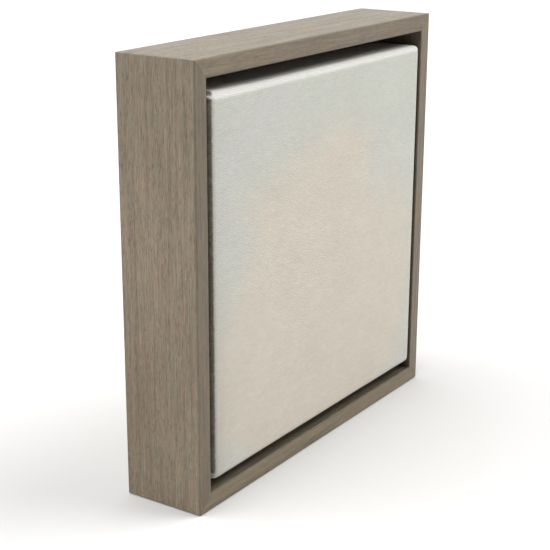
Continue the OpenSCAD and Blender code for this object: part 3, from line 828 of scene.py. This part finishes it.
brown = ((0.212, 0.156, 0.104), (0.193, 0.161, 0.110))
olive = ((0.205, 0.153, 0.101), (0.190, 0.156, 0.106))
tan = ((0.212, 0.154, 0.096), (0.193, 0.159, 0.101))
# per rail: the tone is partly painted shade, darkest on the left rail, and the front factor is painted shade on the
# front faces
for side, upright, seed, mitre, tone_and_painted_shade, front_painted_shade, tints in (
    ("top", False, 3.1, 0.75, 0.91, 0.94, olive),
    ("bottom", False, 17.4, 0.25, 0.92, 1.0, tan),
    ("left", True, 8.7, 0.75, 0.83, 0.87, brown),
    ("right", True, 29.9, 0.25, 0.87, 1.0, brown),
):
    # on the left rail, a darker, warmer patch low down and a paler one higher up
    left_patches = ((14.0, 55.0, 15.0, 42.0, (0.90, 0.86, 0.80)), (8.0, 135.0, 22.0, 34.0, (1.08, 1.07, 1.06))) if side == "left" else ()
    wood = frame_wood(f"stained_wood_{side}", upright, seed, mitre, tone_and_painted_shade, front_painted_shade, tints, left_patches)
    dress(f"frame_rail_{side}", wood, 0.12)

pine_light, pine_dark = (0.640, 0.455, 0.255), (0.455, 0.262, 0.115)
knots = {"top": ((38.0, 196.0, 3.4),), "bottom": (), "left": ((150.0, -92.0, 2.6),), "right": ()}
for side, upright, seed in (("top", False, 0.13), ("bottom", False, 0.57), ("left", True, 0.31), ("right", True, 0.83)):
    dress(
        f"stretcher_bar_{side}",
        softwood(f"planed_pine_{side}", upright, seed, pine_light, pine_dark, 3.3, knots[side]),
        0.25,
    )

for k, name in enumerate(sorted(n for n in nodes if n.startswith("key_"))):
    dress(name, beech(f"beech_{k}", name.endswith("upright"), 2.0 + 3.7 * k), 0.15)

steel = metal("galvanised_steel", (0.36, 0.36, 0.355), 0.36, 1.0, 0.35)
zinc = metal("zinc_plate", (0.50, 0.495, 0.465), 0.28, 4.0, 0.25)
nickel = metal("nickel_plate", (0.47, 0.45, 0.41), 0.22, 7.0, 0.15, 1.0)
dress("canvas_staples", steel, 0.08)
dress("corner_v_nails", steel, 0.05)
dress("mounting_screws", zinc, 0.06)
dress("hanger_screws", zinc, 0.06)
for side in ("left", "right"):
    dress(f"d_ring_strap_{side}", nickel, 0.18)
    dress(f"d_ring_{side}", nickel, 0.0)
    dress(f"wall_bumper_{side}", rubber(f"bumper_rubber_{side}"), 0.25)

# ---------------------------------------------------------------- floor, light, camera


def floor():
    mesh = bpy.data.meshes.new("floor")
    s, z = 90.0, -0.0002
    mesh.from_pydata([(-s, -s, z), (s, -s, z), (s, s, z), (-s, s, z)], [], [(0, 1, 2, 3)])
    ob = bpy.data.objects.new("floor", mesh)
    scene.collection.objects.link(ob)
    g = Graph("pale_floor")
    p = g.node("ShaderNodeBsdfDiffuse")
    p.inputs["Color"].default_value = (0.70, 0.70, 0.70, 1)
    g.nt.links.new(p.outputs[0], g.end.inputs["Surface"])
    mesh.materials.append(g.mat)


def light():
    """A dark studio round the camera, bright walls behind the object, a broad key from the upper right in front and a
    weaker fill from above on the left."""
    world = bpy.data.worlds.new("studio")
    scene.world = world
    world.use_nodes = True
    nt = world.node_tree
    nt.nodes.clear()
    out = nt.nodes.new("ShaderNodeOutputWorld")
    back = nt.nodes.new("ShaderNodeBackground")
    coord = nt.nodes.new("ShaderNodeTexCoord")

    def lobe(axis, start, stop, strength, base=0.0):
        dot = nt.nodes.new("ShaderNodeVectorMath")
        dot.operation = "DOT_PRODUCT"
        dot.inputs[1].default_value = Vector(axis).normalized()
        ramp = nt.nodes.new("ShaderNodeMapRange")
        ramp.interpolation_type = "SMOOTHSTEP"
        for i, v in enumerate((start, stop, base, base + strength)):
            ramp.inputs[i + 1].default_value = v
        nt.links.new(coord.outputs["Generated"], dot.inputs[0])
        nt.links.new(dot.outputs["Value"], ramp.inputs[0])
        return ramp.outputs[0]

    parts = [
        lobe((0.62, 0.68, 0.40), -0.20, 0.95, 1.00, 0.06),
        lobe((-0.80, 0.50, 0.33), 0.25, 0.98, 1.25),
        lobe((0.0, 0.1, 1.0), 0.45, 1.0, 0.20),
    ]
    total = parts[0]
    for extra in parts[1:]:
        add = nt.nodes.new("ShaderNodeMath")
        nt.links.new(total, add.inputs[0])
        nt.links.new(extra, add.inputs[1])
        total = add.outputs[0]
    # a pale strip just over the horizon, so the floor runs into it on the dark side too
    height = nt.nodes.new("ShaderNodeSeparateXYZ")
    strip = nt.nodes.new("ShaderNodeMapRange")
    strip.interpolation_type = "SMOOTHSTEP"
    for i, v in enumerate((0.06, 0.14, 0.78, 0.0)):
        strip.inputs[i + 1].default_value = v
    most = nt.nodes.new("ShaderNodeMath")
    most.operation = "MAXIMUM"
    nt.links.new(coord.outputs["Generated"], height.inputs[0])
    nt.links.new(height.outputs[2], strip.inputs[0])
    nt.links.new(strip.outputs[0], most.inputs[0])
    nt.links.new(total, most.inputs[1])
    total = most.outputs[0]
    back.inputs["Color"].default_value = (1.0, 1.0, 1.0, 1)
    nt.links.new(total, back.inputs["Strength"])
    nt.links.new(back.outputs[0], out.inputs["Surface"])

    def aimed(name, data, towards, location=(0, 0, 0)):
        ob = bpy.data.objects.new(name, data)
        scene.collection.objects.link(ob)
        ob.location = location
        ob.rotation_mode = "QUATERNION"
        ob.rotation_quaternion = Vector(towards).normalized().to_track_quat("Z", "Y")

    for name, strength, width, towards in (
        ("soft_key", 2.20, 42, (0.48, -0.47, 0.74)),
        ("soft_fill", 1.0, 60, (-0.55, 0.25, 0.80)),
    ):
        sun = bpy.data.lights.new(name, "SUN")
        sun.energy = strength
        sun.angle = math.radians(width)
        sun.color = (1.0, 0.99, 0.975)
        ob = bpy.data.objects.new(name, sun)
        scene.collection.objects.link(ob)
        ob.rotation_mode = "QUATERNION"
        ob.rotation_quaternion = Vector(towards).normalized().to_track_quat("Z", "Y")


def camera():
    data = bpy.data.cameras.new("camera")
    data.lens = 87.673
    data.sensor_width = 36.0
    data.clip_start, data.clip_end = 0.02, 60.0
    ob = bpy.data.objects.new("camera", data)
    scene.collection.objects.link(ob)
    ob.location = (-0.615378, -0.402206, 0.328009)
    ob.rotation_mode = "QUATERNION"
    ob.rotation_quaternion = Quaternion((0.7119173, 0.5209239, -0.2798776, -0.3787882)).normalized()
    scene.camera = ob


floor()
light()
camera()
